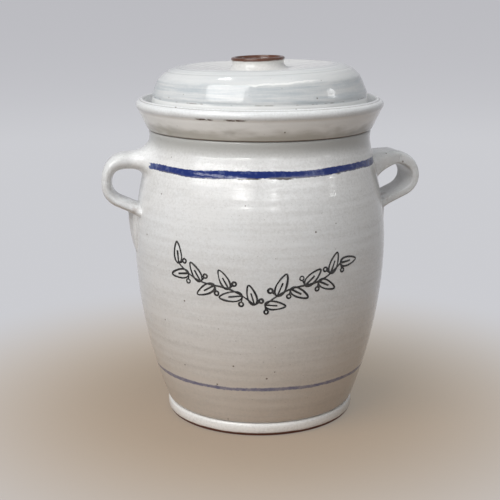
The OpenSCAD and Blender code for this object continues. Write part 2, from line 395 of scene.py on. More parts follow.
def turned(name, node, finish, spacing, rounds, segments, rings=(0, 1), lumps=0.0, rings_between=(0, 1),
           marks=(), hand=0.0):
    """A turned piece grown from a CAD node's outline. rings is (depth, pitch) of the throwing spiral, and
    marks are (radius, height, depth, width) of single turned grooves, or ridges where depth is negative.
    Rings and lumps are only made between the two heights of rings_between, and hand is their seed."""
    corners, closed = read_outline(node)
    points = eased(even_steps(corners, spacing)[:-1 if closed else None], closed, rounds)
    outward = outward_of(points, closed)
    for mark_r, mark_z, depth, width in marks:
        for p, n in zip(points, outward):
            away = math.dist(p, (mark_r, mark_z)) / width
            press = depth * math.exp(-away * away / 2)
            p[0] -= n.x * press
            p[1] -= n.y * press
    if closed:
        points = points + points[:1]
        outward = outward + outward[:1]
    travel = [spacing * i for i in range(len(points))]
    low, high = rings_between
    shown = [ramp((z - low) / RING_FADE) * ramp((high - z) / RING_FADE) for _, z in points]
    line = seed_line(name + "_outline", [(r, 0, z) for r, z in points],
                     outward=[(n.x, 0, n.y) for n in outward], travel=travel, shown=shown)
    depth, pitch = rings
    return grow(name, wheel, line, {"Segments": segments, "Ring depth": depth, "Ring pitch": pitch,
                                    "Unevenness": lumps, "Hand": hand, "Finish": finish})


def place_piece(piece, body, slot, *nodes):
    """Hands a finished piece to the frame: the body it rides on, and the CAD nodes it stands in for, which
    are hidden. slot is not used.
    """
    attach(piece, body)
    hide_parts(*nodes)


for node in ("crock_body", "foot_ring", "water_collar", "lid_dome", "lid_knob"):
    print(node, "outline corners:", len(read_outline(node)[0]))

# %% [markdown]
# ## Glaze
# The white glaze is a thin glass over a buff clay. Where it lies thick it is a cool white, where it is thin
# it turns a warm grey, and the iron in the clay burns through as brown specks. A flat white would look like
# plastic, so the colour is mixed in layers: cool and warm clouds, faint rings that the throwing spiral
# leaves in the glaze, then specks. All of it reads Object coordinates, so it stays put on the pot.

# %% Glaze layers
GLASS_IOR = 1.52
SKIN_DEPTH = 0.2 * MM
PEEL_SIZE = 1.5 * MM
DULL_SIZE = 9 * MM
RIPPLE_SIZE = 11 * MM
CLOUD_SIZE = 34 * MM
GRAIN_SIZE = 1.3 * MM
SMEAR = 0.06
IRON = (0.075, 0.038, 0.018, 1)
BURNT = (0.16, 0.075, 0.03, 1)
BARE_CLAY = (0.13, 0.042, 0.026, 1)
PORE_GREY = (0.47, 0.46, 0.44, 1)


def new_finish(name):
    """An empty material, its pen, its shader and the Object coordinates on it."""
    finish = bpy.data.materials.new(name)
    finish.use_nodes = True
    finish.node_tree.nodes.clear()
    pen = Pen(finish.node_tree)
    shader = pen.add("ShaderNodeBsdfPrincipled").node
    end = pen.tree.nodes.new("ShaderNodeOutputMaterial")
    pen.tree.links.new(shader.outputs[0], end.inputs[0])
    place = pen.add("ShaderNodeTexCoord", out=3)
    return finish, pen, shader, place


def feed(pen, shader, **sockets):
    """Links outputs to the shader's inputs."""
    for name, source in sockets.items():
        pen.tree.links.new(source, shader.inputs[name.replace("_", " ")])


def drawn_round(pen, place, stretch, along=None):
    """Coordinates that draw a pattern out round the pot, and keep its height or another value as it is."""
    x, y, z = pen.split(place)
    return pen.joined(pen.product(x, stretch), pen.product(y, stretch), z if along is None else along)


def ring_noise(pen, place, size, seed):
    """Noise drawn out round the pot, as the turning wheel smears clay and glaze."""
    return pen.noise(drawn_round(pen, place, SMEAR), size, seed, detail=3, rough=0.6)


def iron_specks(pen, place, colour, cell, size, strength):
    """Burnt iron specks: the hearts of Voronoi cells that happen to lie in the surface."""
    heart = pen.add("ShaderNodeTexVoronoi", {"Vector": place, "Scale": 1 / cell}).node
    reach = pen.product(pen.between(pen.split(heart.outputs["Color"])[0], 0.35, 1.0), size / cell)
    inside = pen.fall(pen.math("DIVIDE", heart.outputs["Distance"], reach), 0.5, 1.0)
    return pen.mix(pen.product(inside, strength), colour, IRON)


def clouded(pen, place, cool, warm, low_share, high_share, bottom, top, seed):
    """Cool glaze that turns warm towards the bottom, with clouds, grain and rings drawn round the pot."""
    _, _, z = pen.split(place)
    share = pen.between(pen.rise(z, bottom, top), low_share, high_share)
    cloud = pen.drift(place, CLOUD_SIZE, seed, -0.25, 0.25, detail=3)
    colour = pen.mix(pen.most(pen.total(share, cloud), 0.0), cool, warm)
    grain = pen.drift(place, GRAIN_SIZE, seed + 1, -0.5, 0.6, detail=3, rough=0.7)
    rings = pen.between(ring_noise(pen, place, 4 * MM, seed), -0.4, 0.5)
    return pen.mix(pen.most(pen.total(grain, rings), 0.0), colour, PORE_GREY)


def glassy(pen, shader, place, low, high, bump, ripple=0.0):
    """Gloss whose roughness drifts from low to high, on an orange-peel skin with slow ripples in it."""
    shader.inputs["IOR"].default_value = GLASS_IOR
    dull = pen.drift(place, DULL_SIZE, 3.0, low, high, detail=3)
    skin = pen.total(pen.noise(place, PEEL_SIZE, 5.0, detail=2),
                     pen.product(ring_noise(pen, place, 2.6 * MM, 8.0), 0.9),
                     pen.product(pen.noise(place, RIPPLE_SIZE, 6.0, detail=1), ripple))
    bent = pen.add("ShaderNodeBump", {"Strength": bump, "Distance": SKIN_DEPTH, "Height": skin})
    feed(pen, shader, Roughness=dull, Normal=bent)


def broken(pen, place, size, seed, least):
    """1 in patches round the pot and 0 between them, for lines that come and go."""
    return pen.rise(pen.noise(place, size, seed, detail=2), least, least + 0.07)


def band(pen, value, middle, half, soft):
    """1 within half of middle, with soft edges."""
    away = pen.math("ABSOLUTE", pen.math("SUBTRACT", value, middle))
    return pen.fall(away, half - soft, half + soft)


def front_span(pen, place, middle, half, soft):
    """1 along a stretch of the pot's front, measured across it from the middle of the camera's side."""
    x, y, _ = pen.split(place)
    across = pen.total(pen.product(x, math.cos(CAMERA_TURN)), pen.product(y, math.sin(CAMERA_TURN)))
    return pen.product(band(pen, across, middle, half, soft), pen.math("LESS_THAN", y, 0.0))


def from_axis(pen, place):
    """Distance from the pot's axis."""
    x, y, _ = pen.split(place)
    return pen.math("SQRT", pen.total(pen.product(x, x), pen.product(y, y)))


print("glaze layers ready")

# %% [markdown]
# ## Brushed cobalt on the wall
# Two lines are brushed on while the pot turns: a strong cobalt band on the shoulder that stops short of
# the handles, and a thin, thirsty line low on the wall. A straight stripe would look printed. Here the edge
# of each line wanders with noise, the pigment pools and thins, and the band's lower edge is burnt brown.

# %% Brushed lines
COBALT = (0.001, 0.019, 0.165, 1)
COBALT_THIN = (0.005, 0.042, 0.22, 1)
FRINGE = (0.15, 0.15, 0.19, 1)
SCORCH = (0.03, 0.016, 0.010, 1)
THIRSTY_BLUE = (0.115, 0.125, 0.25, 1)
BAND_HEIGHT = 161.6 * MM
BAND_LEAST, BAND_MOST = 1.2 * MM, 2.6 * MM
BARE_LEFT, BARE_RIGHT = 16 * MM, 27 * MM
LOW_LINE_HEIGHT = 32.4 * MM
LOW_LEAST, LOW_MOST = 0.4 * MM, 1.75 * MM
WANDER_SIZE = 38 * MM
BRISTLE_SIZE = 1.6 * MM


def brushed_edge(pen, place, z, slow, quick, seed):
    """The height with a slow wander and a quick bristle edge added to it."""
    wander = pen.drift(place, WANDER_SIZE, seed, -slow, slow, detail=1)
    bristle = pen.drift(place, BRISTLE_SIZE, seed + 1, -quick, quick, detail=1)
    return pen.total(z, wander, bristle)


def brush_stroke(pen, level, middle, half, soft):
    """1 within half of middle, where half may change along the stroke."""
    away = pen.math("ABSOLUTE", pen.math("SUBTRACT", level, middle))
    return pen.fall(pen.math("SUBTRACT", away, half), -soft, soft)


def facing_out(pen, place):
    """1 on faces that look away from the pot's axis, and 0 inside the pot."""
    x, y, _ = pen.split(place)
    away_x, away_y, _ = pen.split(pen.add("ShaderNodeTexCoord", out=1))
    return pen.math("GREATER_THAN", pen.total(pen.product(x, away_x), pen.product(y, away_y)), 0.0)


def cobalt_band(pen, place, colour):
    """The shoulder band: pigment that pools, a burnt lower edge, and bare ends by the handles."""
    x, y, z = pen.split(place)
    sag = pen.between(pen.rise(x, -70 * MM, -20 * MM), 1.0 * MM, 0.0)
    level = pen.total(brushed_edge(pen, place, z, 1.3 * MM, 0.45 * MM, 11.0), sag)
    bare_by_handle = pen.between(pen.rise(x, -40 * MM, 40 * MM), BARE_LEFT, BARE_RIGHT)
    clear = pen.math("SUBTRACT", pen.math("ABSOLUTE", y), bare_by_handle)
    brush_end = pen.total(clear, pen.drift(place, 2 * MM, 12.0, -2 * MM, 2 * MM))
    painted = pen.product(pen.rise(brush_end, 0.0, 1 * MM), facing_out(pen, place))
    dry_end = pen.between(pen.rise(clear, 0.0, 9 * MM), 0.22, 0.0)
    pooled = pen.rise(pen.noise(place, 3.5 * MM, 14.0, detail=3),
                      pen.total(0.24, dry_end), pen.total(0.5, dry_end))
    hot = pen.most(front_span(pen, place, -6.5 * MM, 6.5 * MM, 1.5 * MM),
                   front_span(pen, place, 13.5 * MM, 5 * MM, 1.5 * MM),
                   broken(pen, place, 26 * MM, 17.0, 0.56))
    half = pen.drift(place, 24 * MM, 15.0, BAND_LEAST, BAND_MOST, detail=1)
    over_edge = pen.total(level, half)
    burnt_edge = band(pen, over_edge, BAND_HEIGHT - 0.25 * MM, 0.45 * MM, 0.15 * MM)
    burnt = pen.product(burnt_edge, hot, painted, pen.drift(place, 5 * MM, 18.0, 0.6, 1.3))
    low_edge = pen.fall(over_edge, BAND_HEIGHT + 0.2 * MM, BAND_HEIGHT + 1.2 * MM)
    fringe = pen.product(low_edge, pen.rise(pen.noise(place, 21 * MM, 19.0), 0.35, 0.6), 0.85)
    laid = pen.product(brush_stroke(pen, level, BAND_HEIGHT, half, 0.22 * MM), painted,
                       pen.between(pooled, 0.9, 1.0))
    pigment = pen.mix(fringe, pen.mix(pooled, COBALT_THIN, COBALT), FRINGE)
    return pen.mix(pen.math("MINIMUM", burnt, 0.95), pen.mix(laid, colour, pigment), SCORCH)


def low_line(pen, place, colour):
    """The thin line low on the wall, that fades where the brush ran dry."""
    _, _, z = pen.split(place)
    level = brushed_edge(pen, place, z, 1.4 * MM, 0.5 * MM, 21.0)
    half = pen.drift(place, 15 * MM, 23.0, LOW_LEAST, LOW_MOST, detail=3)
    line = brush_stroke(pen, level, LOW_LINE_HEIGHT, half, 0.3 * MM)
    wet = pen.drift(place, 4 * MM, 25.0, 0.35, 1.15, detail=3)
    laid = pen.math("MINIMUM", pen.product(line, wet, facing_out(pen, place)), 0.9)
    return pen.mix(laid, colour, THIRSTY_BLUE)


print("cobalt band at", round(BAND_HEIGHT / MM, 1), "mm, low line at", round(LOW_LINE_HEIGHT / MM, 1), "mm")

# %% [markdown]
# ## The wall's own glaze
# The shoulder is painted whiter for the light and sheen it catches from above, the neck under the collar is
# painted grey for its shade, and the wall turns warm and darker towards the foot, partly a thinner glaze and
# partly painted warm reflection and shade from below. It has burnt brown where another piece was pressed on.
# Each of these is a mask on the height, or on the distance from the axis where the handles leave the wall,
# and the brushed lines lie between the layers.

# %% Wall glaze
BELLY_WHITE = (0.765, 0.775, 0.785, 1)
SHOULDER_PAINTED_LIGHT = (0.89, 0.895, 0.90, 1)
WARM_WHITE = (0.60, 0.53, 0.45, 1)
NECK_PAINTED_SHADE = (0.44, 0.44, 0.42, 1)
SHOULDER_FROM, SHOULDER_FULL = 115 * MM, 168 * MM
HANDLE_FROM, HANDLE_FULL = 79 * MM, 84 * MM
NECK_FROM, NECK_FULL = 166.5 * MM, 176.5 * MM
NECK_RADIUS = 66 * MM
ROOT_HEIGHT, ROOT_RADIUS = 133.5 * MM, 79.5 * MM
UNGLAZED_BELOW = 5 * MM
CREASE_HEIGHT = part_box("water_collar")[0].z


def wall_glaze():
    finish, pen, shader, place = new_finish("white_wall_glaze")
    _, _, z = pen.split(place)
    radius = from_axis(pen, place)
    # Painted light: the shoulder, away from the handles, is painted whiter for the light and sheen it catches
    # from above; thick holds that painted light.
    shoulder = pen.product(pen.rise(z, SHOULDER_FROM, SHOULDER_FULL),
                           pen.fall(radius, HANDLE_FROM, HANDLE_FULL))
    thick = pen.mix(shoulder, BELLY_WHITE, SHOULDER_PAINTED_LIGHT)
    # Partly painted light: the wall turns warm and darker towards the foot, partly a thinner glaze and partly
    # painted warm reflection and shade from below.
    colour = clouded(pen, place, thick, WARM_WHITE, 0.7, 0.03, 8 * MM, 100 * MM, 31.0)
    colour = low_line(pen, place, cobalt_band(pen, place, colour))
    for cell, size, strength in ((9, 0.85, 0.8), (4.2, 0.34, 0.45), (2.7, 0.26, 0.35)):
        colour = iron_specks(pen, place, colour, cell * MM, size * MM, strength)
    outside = pen.rise(radius, NECK_RADIUS, NECK_RADIUS + 1 * MM)
    # Painted shade: the outside of the neck under the collar is painted grey for the collar's shade.
    colour = pen.mix(pen.product(pen.rise(z, NECK_FROM, NECK_FULL), outside, 0.88), colour, NECK_PAINTED_SHADE)
    crease = pen.product(pen.rise(z, CREASE_HEIGHT - 0.7 * MM, CREASE_HEIGHT - 0.1 * MM), outside,
                         pen.drift(place, 9 * MM, 33.0, 0.1, 1.0))
    colour = pen.mix(crease, colour, BURNT)
    root = pen.product(band(pen, z, ROOT_HEIGHT, 3 * MM, 2 * MM),
                       band(pen, radius, ROOT_RADIUS, 2 * MM, 1 * MM),
                       pen.rise(pen.noise(place, 5 * MM, 35.0), 0.42, 0.7), 0.4)
    colour = pen.mix(root, colour, BURNT)
    feed(pen, shader, Base_Color=pen.mix(pen.math("LESS_THAN", z, UNGLAZED_BELOW), colour, BARE_CLAY))
    fused = band(pen, z, BAND_HEIGHT - 0.3 * MM, 2.6 * MM, 0.8 * MM)
    glassy(pen, shader, place, pen.between(fused, 0.08, 0.04), pen.between(fused, 0.2, 0.07), 0.22)
    return finish


white_wall = wall_glaze()
print(white_wall.name, "has", len(white_wall.node_tree.nodes), "nodes")

# %% [markdown]
# ## The crock's wall
# The body is one thrown piece: floor, belly, shoulder, the ledge that floors the water channel and the
# inner lip round the mouth. Its outline comes from the frame. A shallow spiral of rings runs up the wall
# where fingers pulled the clay, and stops at the faces that other pieces sit on.

# %% Crock wall
crock_wall = turned("crock_wall", "crock_body", white_wall, spacing=1.3 * MM, rounds=3, segments=176,
                    rings=(0.045 * MM, 6.5 * MM), lumps=0.22 * MM, rings_between=(14 * MM, 176 * MM),
                    hand=2.0)
place_piece(crock_wall, "crock", "white_glaze", "crock_body")

# %% [markdown]
# ## The foot
# The foot is a coil pressed under the base and turned to a bead. The glaze lies thick and white on the bead
# and was wiped off the bevel below it, so that the pot would not stick to the kiln shelf: the bare clay
# there has burnt to a dark red brown. A height mask with a noisy edge draws that wiped line.

# %% Foot bead
WIPED_HEIGHT = 2.3 * MM
FOOT_WHITE = (0.88, 0.88, 0.87, 1)


def foot_glaze():
    finish, pen, shader, place = new_finish("foot_glaze")
    _, _, z = pen.split(place)
    colour = clouded(pen, place, FOOT_WHITE, WARM_WHITE, 0.0, 0.0, 0, 8 * MM, 41.0)
    colour = iron_specks(pen, place, colour, 9 * MM, 0.7 * MM, 0.7)
    edge = pen.total(z, pen.drift(place, 7 * MM, 43.0, -0.5 * MM, 0.5 * MM))
    wiped = pen.fall(edge, WIPED_HEIGHT - 0.3 * MM, WIPED_HEIGHT + 0.3 * MM)
    feed(pen, shader, Base_Color=pen.mix(wiped, colour, BARE_CLAY))
    dull = pen.between(wiped, 0.16, 0.8)
    glassy(pen, shader, place, dull, dull, 0.25)
    return finish


foot_bead = turned("foot_bead", "foot_ring", foot_glaze(), spacing=0.7 * MM, rounds=2, segments=160,
                   lumps=0.15 * MM, rings_between=(2 * MM, 7 * MM), hand=4.0)
place_piece(foot_bead, "crock", "white_glaze", "foot_ring")

# %% [markdown]
# ## The water collar
# The collar is a flared ring luted onto the shoulder, and the crease under it fires to a thin brown line.
# Its lip is a rounded bead with a fine ridge inside, and the glaze breaks brown in dashes under the bead.
# These marks lie at known heights, so each is a thin band on the height, broken up by noise.

# %% Collar
LIP_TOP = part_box("water_collar")[1].z
LIP_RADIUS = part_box("water_collar")[1].x
BEAD_FOOT = LIP_TOP - 6.1 * MM
COOL_WHITE = (0.80, 0.81, 0.82, 1)
CREAM_WHITE = (0.92, 0.91, 0.885, 1)
GREY_AND_CREASE_SHADE = (0.53, 0.51, 0.46, 1)
SMUDGE = (0.29, 0.27, 0.23, 1)
COLLAR_FLARE = 0.45
WALL_MIDDLE = -15.4 * MM
SMUDGE_SMEAR = 0.35


def collar_glaze():
    finish, pen, shader, place = new_finish("collar_glaze")
    _, _, z = pen.split(place)
    radius = from_axis(pen, place)
    from_flare = pen.math("SUBTRACT", radius, pen.product(z, COLLAR_FLARE))
    outside = pen.rise(from_flare, WALL_MIDDLE, WALL_MIDDLE + 1 * MM)
    drawn_out = drawn_round(pen, place, SMUDGE_SMEAR)
    wavy = pen.total(z, pen.drift(drawn_out, 6 * MM, 54.0, -5.5 * MM, 5 * MM))
    # Partly painted shade: the collar turns grey towards the crease, partly a grey glaze and partly painted
    # shade in the crease; thin carries both.
    thin = pen.product(pen.fall(wavy, CREASE_HEIGHT + 1 * MM, CREASE_HEIGHT + 8 * MM), outside)
    colour = clouded(pen, place, COOL_WHITE, WARM_WHITE, 0.0, 0.0, 0, 1, 51.0)
    under = pen.fall(z, BEAD_FOOT - 0.3 * MM, BEAD_FOOT + 0.9 * MM)
    colour = pen.mix(pen.product(under, outside, 0.9), colour, CREAM_WHITE)
    streaky = pen.between(ring_noise(pen, place, 5 * MM, 52.0), 0.5, 1.4)
    colour = pen.mix(pen.product(thin, streaky), colour, GREY_AND_CREASE_SHADE)
    smudge = pen.rise(pen.noise(drawn_out, 4.5 * MM, 53.0), 0.55, 0.8)
    ends = pen.most(front_span(pen, place, -58 * MM, 10 * MM, 7 * MM),
                    front_span(pen, place, 60 * MM, 12 * MM, 8 * MM))
    blotch = pen.rise(pen.noise(drawn_out, 7 * MM, 59.0, detail=3), 0.36, 0.62)
    smudge = pen.most(smudge, pen.product(ends, blotch, 0.75))
    colour = pen.mix(pen.product(smudge, pen.between(thin, 0.15, 0.8), outside), colour, SMUDGE)
    runs = pen.most(front_span(pen, place, -31 * MM, 4.5 * MM, 1.5 * MM),
                    front_span(pen, place, -13.5 * MM, 5.5 * MM, 2 * MM),
                    broken(pen, place, 15 * MM, 55.0, 0.62))
    under_bead = pen.total(z, pen.drift(place, 3 * MM, 56.0, -0.5 * MM, 0.5 * MM))
    dash = pen.product(band(pen, under_bead, BEAD_FOOT + 0.2 * MM, 0.45 * MM, 0.25 * MM), runs, outside,
                       pen.rise(pen.noise(place, 2.5 * MM, 58.0), 0.3, 0.5))
    groove = pen.product(band(pen, radius, LIP_RADIUS - 2.2 * MM, 0.2 * MM, 0.15 * MM),
                         pen.rise(z, LIP_TOP - 2 * MM, LIP_TOP - 1.4 * MM), 0.5)
    crease = pen.product(pen.fall(z, CREASE_HEIGHT + 0.1 * MM, CREASE_HEIGHT + 0.7 * MM),
                         pen.drift(place, 9 * MM, 57.0, 0.35, 1.0))
    colour = pen.mix(crease, colour, BURNT)
    colour = pen.mix(pen.product(dash, 0.92), pen.mix(groove, colour, IRON), IRON)
    colour = iron_specks(pen, place, colour, 8 * MM, 0.7 * MM, 0.75)
    feed(pen, shader, Base_Color=colour)
    glassy(pen, shader, place, 0.08, 0.2, 0.22)
    return finish


collar = turned("collar", "water_collar", collar_glaze(), spacing=0.45 * MM, rounds=2, segments=208,
                lumps=0.2 * MM, rings_between=(CREASE_HEIGHT + 1 * MM, 1), hand=6.0,
                marks=((75.3 * MM, BEAD_FOOT + 2.2 * MM, -0.3 * MM, 1.6 * MM),
                       (74.2 * MM, BEAD_FOOT - 0.9 * MM, 0.15 * MM, 0.8 * MM)))
place_piece(collar, "crock", "white_glaze", "water_collar")

# %% [markdown]
# ## The lean of the lid
# The dome was thrown a little askew on a level skirt. A plain turn of the whole lid would lift one side of
# the skirt off its channel, so the turn grows from nothing at the rim to its full size on top. The glaze
# turns its coordinates back by the same share, which keeps the pattern on the shape.

# %% Lean
LEAN = math.radians(1.5)
LEAN_FROM, LEAN_FULL = 200.8 * MM, 213 * MM
LEAN_AXIS = around(CAMERA_TURN, 1, 0)
LID_LOW, LID_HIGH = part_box("lid_dome")
LEAN_FOOT = around(CAMERA_TURN - math.pi / 2, LID_HIGH.x, LID_LOW.z)


def upright(pen, place, sink=0.0):
    """The place on the lid before it was sunk and leaned."""
    turned_back = pen.add("ShaderNodeVectorRotate", {"Vector": place, "Center": LEAN_FOOT, "Axis": LEAN_AXIS,
                                                     "Angle": -LEAN}, rotation_type="AXIS_ANGLE")
    share = pen.rise(pen.split(place)[2], LEAN_FROM, LEAN_FULL)
    level = pen.add("ShaderNodeMix", {0: share, 4: place, 5: turned_back}, out=1, data_type="VECTOR")
    return pen.add("ShaderNodeVectorMath", {0: level, 1: (0, 0, sink)}, operation="ADD")


def leaned(piece, sink=0.0):
    """Sinks a finished piece of the lid and leans what is above the rim about the left foot of the skirt."""
    to_foot = Matrix.Translation(-LEAN_FOOT)
    lean = to_foot.inverted() @ Matrix.Rotation(LEAN, 4, LEAN_AXIS) @ to_foot
    for v in piece.data.vertices:
        t = ramp((v.co.z - LEAN_FROM) / (LEAN_FULL - LEAN_FROM))
        level = v.co - Vector((0, 0, sink))
        v.co = level.lerp(lean @ level, t * t * (3 - 2 * t))


print("lid leans by", round(math.degrees(LEAN), 1), "degrees")

# %% [markdown]
# ## The lid's glaze
# The lid is glazed thicker, so it looks more glassy and a little blue, and its turned rings show through as
# bands of grey and white. A picture of streaks could be wrapped on it, but it would stretch on the dome.
# Noise that is drawn out round the pot and runs with the slope of the dome gives such bands from every side.

# %% Lid glaze
LID_WHITE = (0.69, 0.695, 0.695, 1)
LID_GREY = (0.475, 0.515, 0.545, 1)
LID_WARM = (0.86, 0.85, 0.83, 1)
LID_RUN_AND_HIGHLIGHT = (0.86, 0.86, 0.85, 1)
LINE_GREY = (0.36, 0.365, 0.36, 1)
RIM_LINE = 199.7 * MM
RIDGE_HEIGHT = 209.2 * MM
DISH_EDGE, DISH_LINE = 48.6 * MM, 55.4 * MM
DISH_FROM, DISH_FULL = 49 * MM, 42 * MM
TOP_FROM = 211 * MM
LID_SMEAR = 0.08


def lid_glaze():
    finish, pen, shader, place = new_finish("lid_glaze")
    place = upright(pen, place)
    _, _, z = pen.split(place)
    radius = from_axis(pen, place)
    drawn_out = drawn_round(pen, place, LID_SMEAR, pen.math("SUBTRACT", z, radius))
    streak = pen.rise(pen.noise(drawn_out, 4.5 * MM, 61.0, detail=4, rough=0.66), 0.36, 0.66)
    fine = pen.rise(pen.noise(drawn_out, 1.7 * MM, 67.0, detail=3, rough=0.6), 0.3, 0.7)
    cloud = pen.drift(place, 16 * MM, 63.0, -0.4, 0.4, detail=3)
    grain = pen.drift(place, GRAIN_SIZE, 64.0, -0.3, 0.3, detail=3, rough=0.7)
    grey = pen.total(pen.between(streak, 0.1, 0.8), pen.between(fine, -0.3, 0.4), cloud, grain)
    pour_edge = pen.total(z, pen.drift(place, 12 * MM, 62.0, -2.4 * MM, 2.4 * MM, detail=3))
    side = pen.fall(pour_edge, RIDGE_HEIGHT - 0.9 * MM, RIDGE_HEIGHT + 0.9 * MM)
    share = pen.product(grey, pen.between(side, 0.28, 0.85))
    colour = pen.mix(pen.most(share, 0.0), LID_WHITE, LID_GREY)
    colour = pen.mix(pen.product(pen.fall(radius, DISH_FULL, DISH_FROM), 0.85), colour, LID_WARM)
    on_top = pen.rise(z, TOP_FROM, TOP_FROM + 1 * MM)
    for line_radius, strength in ((DISH_EDGE, 0.4), (DISH_LINE, 0.5)):
        turned_line = pen.product(band(pen, radius, line_radius, 0.3 * MM, 0.25 * MM), on_top,
                                  pen.drift(place, 14 * MM, 66.0, 0.1, 1.6), strength)
        colour = pen.mix(turned_line, colour, LINE_GREY)
    # Partly painted highlight: a whiter run of glaze on the rolled ridge, drawn only on the front, where it
    # also stands in for the ridge's highlight.
    ridge_run_and_highlight = pen.product(band(pen, pour_edge, RIDGE_HEIGHT + 0.3 * MM, 0.45 * MM, 0.25 * MM),
                         front_span(pen, place, 14 * MM, 19 * MM, 3 * MM))
    colour = pen.mix(pen.product(ridge_run_and_highlight, 0.9), colour, LID_RUN_AND_HIGHLIGHT)
    # Painted highlight: the lid is painted whiter in a strip along its lower edge, above the rim line.
    pooled = pen.fall(z, RIM_LINE - 0.9 * MM, RIM_LINE - 0.2 * MM)
    colour = pen.mix(pen.product(pooled, 0.75), colour, LID_RUN_AND_HIGHLIGHT)
    rim_line = pen.product(band(pen, z, RIM_LINE, 0.2 * MM, 0.15 * MM),
                           broken(pen, place, 7 * MM, 65.0, 0.50))
    colour = pen.mix(pen.product(rim_line, 0.6), colour, IRON)
    for cell, size, strength in ((7, 0.7, 0.75), (3.6, 0.3, 0.45)):
        colour = iron_specks(pen, place, colour, cell * MM, size * MM, strength)
    feed(pen, shader, Base_Color=colour)
    glassy(pen, shader, place, 0.05, 0.15, 0.26, ripple=7.0)
    return finish


blue_white = lid_glaze()
print(blue_white.name, "has", len(blue_white.node_tree.nodes), "nodes")

# %% [markdown]
# ## The lid's shape
# A few single tool marks are worth shaping as real grooves and ridges: the edge of the dished top, a rolled
# ridge of glaze on the shoulder and a fine line just above the rim. Two half-round notches in the skirt let
# the gas out through the water. One long cylinder and a Boolean modifier cut both out of the turned shell.

# %% Lid shape
NOTCH_RADIUS = 2.5 * MM
SLIVER = 0.01 * MM
DISH_SINK = 1.2 * MM
LID_MARKS = ((DISH_EDGE, 216.1 * MM, 0.25 * MM, 0.7 * MM),
             (DISH_LINE, 214.1 * MM, 0.2 * MM, 0.6 * MM),
             (61.2 * MM, RIDGE_HEIGHT, -0.35 * MM, 0.8 * MM),
             (65.3 * MM, RIM_LINE, 0.3 * MM, 0.5 * MM),
             (65.0 * MM, RIM_LINE + 1.8 * MM, -0.2 * MM, 0.7 * MM),
             (0.0, 216 * MM, DISH_SINK, 22 * MM))
lid_shell = turned("lid_shell", "lid_dome", blue_white, spacing=0.75 * MM, rounds=3, segments=176,
                   rings=(0.06 * MM, 4.6 * MM), lumps=0.45 * MM, rings_between=(197 * MM, 1), marks=LID_MARKS,
                   hand=8.0)
bpy.ops.mesh.primitive_cylinder_add(vertices=32, radius=NOTCH_RADIUS, depth=2.2 * LID_HIGH.x,
                                    location=(0, 0, LID_LOW.z), rotation=(math.pi / 2, 0, 0))
notch_cutter = bpy.context.object
notches = lid_shell.modifiers.new("gas_notches", "BOOLEAN")
notches.object = notch_cutter
lid_cover = plain_copy("lid_cover", lid_shell)
bpy.data.objects.remove(notch_cutter)
shell = bmesh.new()
shell.from_mesh(lid_cover.data)
bmesh.ops.dissolve_degenerate(shell, dist=SLIVER, edges=shell.edges)
shell.to_mesh(lid_cover.data)
shell.free()
leaned(lid_cover)
place_piece(lid_cover, "lid", "lid_glaze", "lid_dome")
print("lid_cover:", len(lid_cover.data.polygons), "faces")

# %% [markdown]
# ## The knob
# The knob is a low ring that a finger and thumb can pinch. The glaze has run off its thin rim and left the
# iron-rich clay a glossy red brown. The brown is a mask on the height, blurred where the glaze breaks.

# %% Knob
KNOB_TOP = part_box("lid_knob")[1].z
RIM_BROWN = (0.125, 0.037, 0.022, 1)
BROWN_FROM, BROWN_FULL = KNOB_TOP - 2.4 * MM, KNOB_TOP - 1.5 * MM
HOLLOW_FROM, HOLLOW_FULL = 11.5 * MM, 13 * MM


def knob_glaze():
    finish, pen, shader, place = new_finish("knob_glaze")
    place = upright(pen, place, DISH_SINK)
    _, _, z = pen.split(place)
    colour = clouded(pen, place, LID_WHITE, WARM_WHITE, 0.1, 0.2, KNOB_TOP - 8 * MM, KNOB_TOP, 71.0)
    edge = pen.total(z, pen.drift(place, 5 * MM, 73.0, -0.5 * MM, 0.5 * MM, detail=3))
    rim = pen.product(pen.rise(edge, BROWN_FROM, BROWN_FULL),
                      pen.rise(from_axis(pen, place), HOLLOW_FROM, HOLLOW_FULL))
    deep = pen.mix(pen.noise(place, 3 * MM, 75.0), RIM_BROWN, IRON)
    feed(pen, shader, Base_Color=pen.mix(rim, colour, deep))
    glassy(pen, shader, place, 0.10, 0.26, 0.3)
    return finish


knob_ring = turned("knob_ring", "lid_knob", knob_glaze(), spacing=0.5 * MM, rounds=2, segments=112,
                   lumps=0.12 * MM, rings_between=(216 * MM, 1), hand=10.0)
leaned(knob_ring, DISH_SINK)
place_piece(knob_ring, "lid", "knob_glaze", "lid_knob")

# %% [markdown]
# ## Pulled handles
# A handle is a strap of clay pulled by hand, curved down and pressed on at both ends. It is swept along its
# path by a tree: each row of a grid takes its middle, width and thickness from a station. The section is a
# circle pulled out towards a square, by one power on the outer face and another on the inner face, with a
# shallow groove down the outer face and a slant from front to back. At the roots the rows must lie on the
# round wall, so a ray is cast to the wall from each point, and the point is laid there by the share that the
# station asks for.

# %% The strap tree
RAY_LENGTH = 200 * MM


def on_wall(pen, wall, start, heading):
    """The point where a ray from start meets the wall."""
    shell = pen.add("GeometryNodeObjectInfo", {0: wall}, out=4)
    return pen.add("GeometryNodeRaycast", {0: shell, 2: start, 3: heading, 4: RAY_LENGTH}, out=1)


strap, pen, given = new_tree("pulled_strap", {
    "Sides": "Int", "Outer squareness": "Float", "Inner squareness": "Float", "Slant": "Float",
    "Groove": "Float", "Groove side": "Float", "Half turn": "Float", "Wall": "Object", "Finish": "Material"})
stations_in = given["Seed mesh"]
grid, turn, row = grid_on(pen, stations_in, given["Sides"])
angle = pen.product(turn, 2 * math.pi)
outward = pen.math("GREATER_THAN", pen.math("SINE", angle), 0.0)
power = pen.math("DIVIDE", 2.0, pen.between(outward, given["Inner squareness"], given["Outer squareness"]))


def squared(value):
    """A cosine or sine pulled out towards a square."""
    return pen.product(pen.math("SIGN", value), pen.math("POWER", pen.math("ABSOLUTE", value), power))


